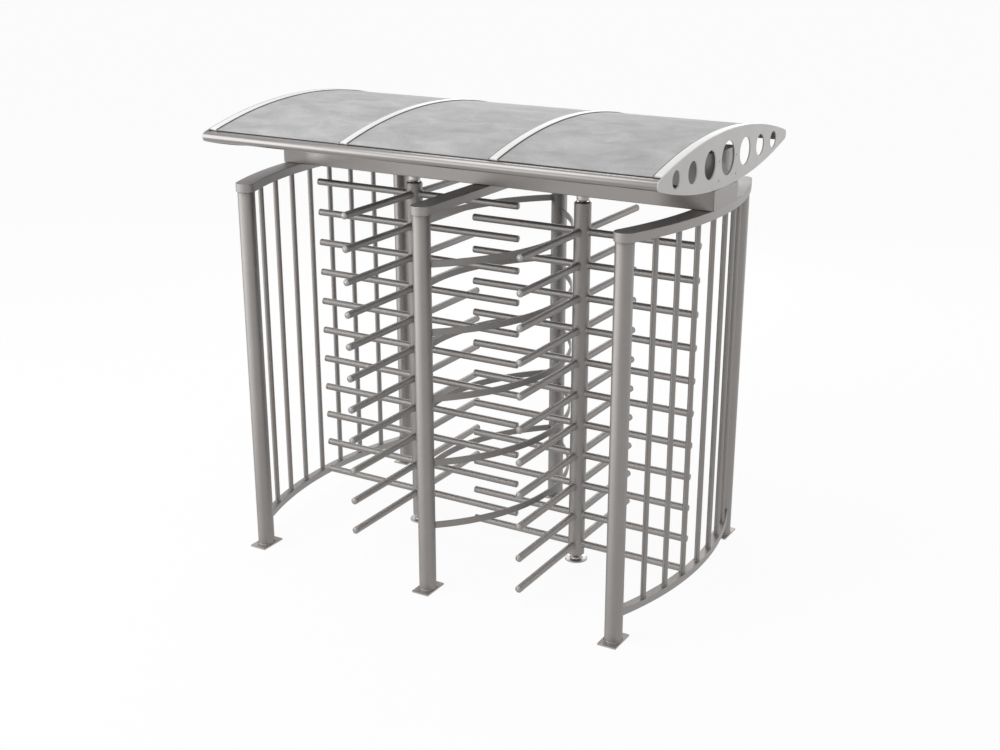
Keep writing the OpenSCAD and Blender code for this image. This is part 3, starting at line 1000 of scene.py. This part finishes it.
class TURNSTILE_OT_canopy_panels(bpy.types.Operator):
    """Three curved sheets of frosted roofing between the ribs"""

    bl_idname = "turnstile.canopy_panels"
    bl_label = "Roof sheets"

    def execute(self, context):
        sizes = context.scene.turnstile_sizes
        radius, edge = sizes.canopy_radius, 0.0008
        top, bottom = -SHEET_SUNK, -SHEET_SUNK - SHEET_THICK
        for place in ("left", "middle", "right"):
            node = f"canopy_panel_{place}"
            low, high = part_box(node)
            reach = radius * math.asin(high.y / (radius - SHEET_SUNK))
            mesh = strip((low.x + high.x) / 2, high.x - low.x, top, bottom, reach, edge, node, 72)
            piece = arched(node + "_sheet", mesh, sizes, finish("roof_panel"))
            settled(piece, "frame", "roof_panel", node)
        return {"FINISHED"}


class TURNSTILE_OT_edge_rails(bpy.types.Operator):
    """Rounded aluminium rails along the canopy's front and rear edges, each with a gasket behind it"""

    bl_idname = "turnstile.edge_rails"
    bl_label = "Edge rails"

    def execute(self, context):
        back, lip = NOSE_Y - NOSE_LOW.y, 0.0015
        seal_width, seal_height = 0.008, 0.005
        section = arc((0, 0), NOSE_R, math.pi / 2, -math.pi / 2, 24)
        section += arc((lip - back, lip - NOSE_R), lip, -math.pi / 2, -math.pi, 3)
        section += arc((lip - back, NOSE_R - lip), lip, math.pi, math.pi / 2, 3)
        for name, side in FRONT_REAR.items():
            node = f"canopy_edge_rail_{name}"
            outline = [(side * (NOSE_Y + y), NOSE_Z + z) for y, z in section]
            mesh = slab(outline, NOSE_LOW.x, NOSE_HIGH.x, node, axes="yzx")
            piece = softened(link(node + "_extrusion", mesh))
            grained(piece, along_axis(0))
            settled(piece, "frame", "edge_aluminium", node)
            at_y = side * (NOSE_Y - back)
            seal = [(at_y + y, NOSE_HIGH.z + z) for y, z in rectangle(seal_width, seal_height, 0.001, 3)]
            mesh = slab(seal, NOSE_LOW.x, NOSE_HIGH.x, "seal", axes="yzx")
            piece = softened(link(f"canopy_edge_gasket_{name}", mesh))
            settled(piece, "frame", "seal_rubber")
        return {"FINISHED"}


def lens_outline(radius):
    """Outline of an end plate: two arcs of the canopy's radius that run into round tips."""
    half, deep = LENS_HIGH.y, (LENS_HIGH.z - LENS_LOW.z) / 2
    tip = (radius**2 - (radius - deep) ** 2 - half**2) / (2 * (radius - half))
    slope = math.asin((half - tip) / (radius - tip))
    up, down = math.pi / 2, 1.5 * math.pi
    points = arc((0, LENS_HIGH.z - radius), radius, up - slope, up + slope, 64)
    points += arc((tip - half, NOSE_Z), tip, up + slope, down - slope, 12)[1:-1]
    points += arc((0, LENS_LOW.z + radius), radius, down - slope, down + slope, 64)
    points += arc((half - tip, NOSE_Z), tip, slope - up, up - slope, 12)[1:-1]
    return points


def screw_shape(radius, face, side):
    """A countersunk screw, sunk in its hole, with a round socket in its head."""
    profile = [(0.005, radius), (0.0006, radius), (0.0, radius * 0.86), (0.0, radius * 0.5)]
    profile += [(0.0004, radius * 0.46), (0.0022, radius * 0.44)]
    return skin([hoop(face - side * depth, r, 18) for depth, r in profile], "screw")


class TURNSTILE_OT_end_plates(bpy.types.Operator):
    """Lens-shaped end plates with seven round holes, and the screws that hold them"""

    bl_idname = "turnstile.end_plates"
    bl_label = "End plates"

    def execute(self, context):
        sizes = context.scene.turnstile_sizes
        outline = lens_outline(sizes.canopy_radius)
        screw_sunk = 0.0012
        for name, side in SIDES.items():
            node = f"canopy_end_plate_{name}"
            low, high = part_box(node)
            holes = [circle((y, NOSE_Z), across / 2, 64)
                     for place, across in LENS_HOLES for y in sorted({-place, place})]
            holes += [circle((y, z), SCREW_HOLE / 2, 16)
                      for y in (-SCREW_ACROSS / 2, SCREW_ACROSS / 2) for z in (NOSE_Z, NOSE_Z - SCREW_RISE)]
            mesh = slab(outline, low.x, high.x, node, holes, "yzx")
            piece = softened(link(node + "_coated", mesh), 0.0008, 2)
            settled(piece, "frame", "end_plate_satin", node)
            face = side * LENS_HIGH.x
            screw = screw_shape(sizes.screw / 2, face - side * screw_sunk, side)
            piece = grown(
                f"canopy_screws_{name}", screw, corners_tree, Width=SCREW_ACROSS, Height=SCREW_RISE,
                Centre=(0, 0, NOSE_Z - SCREW_RISE / 2), Material=finish("dark_screws"))
            settled(softened(piece), "frame", "bearing_steel", look="dark_screws")
        return {"FINISHED"}


class TURNSTILE_OT_support_beam(bpy.types.Operator):
    """Folded sheet beam on the header that carries the canopy"""

    bl_idname = "turnstile.support_beam"
    bl_label = "Canopy beam"

    def execute(self, context):
        mesh, _ = folded_box("canopy_support_beam", context.scene.turnstile_sizes.sheet_edge, "beam")
        piece = softened(link("canopy_support_beam_sheet", mesh))
        settled(piece, "frame", "header_steel", "canopy_support_beam")
        return {"FINISHED"}


# ---------------------------------------------------------------- stage


def shown_rays(nodes):
    """1 where the surroundings are seen, mirrored or seen through, and 0 where they only give light."""
    rays = add(nodes, "ShaderNodeLightPath").outputs
    seen = add(nodes, "ShaderNodeMath", {
        0: rays["Is Camera Ray"], 1: rays["Is Glossy Ray"]}, operation="ADD").outputs[0]
    return add(nodes, "ShaderNodeMath", {
        0: seen, 1: rays["Is Transmission Ray"]}, operation="ADD", use_clamp=True).outputs[0]


class TURNSTILE_OT_stage(bpy.types.Operator):
    """Pale floor, soft studio lamps, white surroundings and the camera"""

    bl_idname = "turnstile.stage"
    bl_label = "Stage"

    def execute(self, context):
        scene = context.scene
        mesh = bpy.data.meshes.new("floor")
        reach, floor_white, light_level = 60.0, 0.93, 0.6
        mesh.from_pydata([(-reach, -reach, 0), (reach, -reach, 0), (reach, reach, 0), (-reach, reach, 0)],
                         [], [(0, 1, 2, 3)])
        floor = link("studio_floor", mesh)
        material, nodes = blank(bpy.data.materials, "studio_floor")
        matt = add(nodes, "ShaderNodeBsdfDiffuse", {"Color": (*scene.turnstile_colours.floor, 1)})
        white = add(nodes, "ShaderNodeEmission", {"Color": (1, 1, 1, 1), "Strength": 1.0})
        veil = add(nodes, "ShaderNodeMath", {0: shown_rays(nodes), 1: floor_white}, operation="MULTIPLY")
        mixed = add(nodes, "ShaderNodeMixShader", {
            0: veil.outputs[0], 1: matt.outputs["BSDF"], 2: white.outputs["Emission"]})
        add(nodes, "ShaderNodeOutputMaterial", {"Surface": mixed.outputs["Shader"]})
        mesh.materials.append(material)

        world, nodes = blank(bpy.data.worlds, "studio")
        level = add(nodes, "ShaderNodeMapRange", {
            "Value": shown_rays(nodes), "To Min": light_level, "To Max": 1.0})
        sky = add(nodes, "ShaderNodeBackground", {
            "Color": (1, 1, 1, 1), "Strength": level.outputs["Result"]})
        add(nodes, "ShaderNodeOutputWorld", {"Surface": sky.outputs["Background"]})
        scene.world = world

        # Each lamp's place, the point it faces, its size in metres, its power in watts and its shine.
        lamps = {
            "key": ((-7.4, -4.6, 2.6), (0.0, 0.0, 1.1), 7.0, 370.0, 0.9),
            "front": ((-2.6, -8.2, 2.8), (0.0, 0.0, 1.0), 5.0, 105.0, 0.8),
            "rim": ((4.6, 6.6, 2.4), (0.0, 0.0, 1.2), 4.0, 45.0, 0.8),
            "back": ((-2.6, 6.2, 3.3), (0.0, 0.0, 1.2), 3.5, 100.0, 1.0),
            "top": ((-1.4, -2.4, 6.6), (0.0, 0.0, 1.8), 4.0, 120.0, 1.0),
        }
        for name, (place, aim, size, power, shine) in lamps.items():
            lamp = bpy.data.lights.new(name, "AREA")
            lamp.size, lamp.energy, lamp.specular_factor = size, power, shine
            holder = bpy.data.objects.new(name, lamp)
            holder.location = place
            holder.rotation_euler = (Vector(aim) - Vector(place)).to_track_quat("-Z", "Y").to_euler()
            scene.collection.objects.link(holder)

        azimuth, elevation, distance = math.radians(30.31), math.radians(19.01), 7.756
        target = Vector((0.025, 0.0, 0.986))
        level_back = math.cos(elevation)
        back = Vector((
            math.sin(azimuth) * level_back, -math.cos(azimuth) * level_back, math.sin(elevation)))
        camera = bpy.data.cameras.new("camera")
        camera.sensor_width, camera.lens = 36.0, 51.07
        holder = bpy.data.objects.new("camera", camera)
        holder.location = target + back * distance
        holder.rotation_euler = (-back).to_track_quat("-Z", "Y").to_euler()
        scene.collection.objects.link(holder)
        scene.camera = holder
        scene.view_settings.view_transform = "Standard"
        return {"FINISHED"}


# ---------------------------------------------------------------- panel and start


OPERATORS = (
    TURNSTILE_OT_stage, TURNSTILE_OT_posts, TURNSTILE_OT_base_plates, TURNSTILE_OT_rails,
    TURNSTILE_OT_cage_bars, TURNSTILE_OT_barrier_bars, TURNSTILE_OT_header,
    TURNSTILE_OT_floor_bearings, TURNSTILE_OT_rotors, TURNSTILE_OT_canopy_ribs,
    TURNSTILE_OT_canopy_panels, TURNSTILE_OT_edge_rails, TURNSTILE_OT_support_beam,
    TURNSTILE_OT_end_plates,
)


class TURNSTILE_PT_pieces(bpy.types.Panel):
    """Lists the turnstile's pieces, sizes and colours"""

    bl_label = "Turnstile"
    bl_idname = "TURNSTILE_PT_pieces"
    bl_space_type = "VIEW_3D"
    bl_region_type = "UI"
    bl_category = "Turnstile"

    def draw(self, context):
        for group in (context.scene.turnstile_sizes, context.scene.turnstile_colours):
            box = self.layout.box()
            for name in group.__annotations__:
                box.prop(group, name)
        for operator in OPERATORS:
            self.layout.operator(operator.bl_idname)


CLASSES = (TurnstileSizes, TurnstileColours, *OPERATORS, TURNSTILE_PT_pieces)


def register():
    """Makes the classes and the scene's settings known to Blender."""
    for item in CLASSES:
        bpy.utils.register_class(item)
    bpy.types.Scene.turnstile_sizes = bpy.props.PointerProperty(type=TurnstileSizes)
    bpy.types.Scene.turnstile_colours = bpy.props.PointerProperty(type=TurnstileColours)


def unregister():
    """Takes them away again."""
    del bpy.types.Scene.turnstile_colours
    del bpy.types.Scene.turnstile_sizes
    for item in reversed(CLASSES):
        bpy.utils.unregister_class(item)


def main():
    """Makes every piece in order."""
    register()
    for operator in OPERATORS:
        group, name = operator.bl_idname.split(".")
        getattr(getattr(bpy.ops, group), name)()


if __name__ == "__main__":
    main()
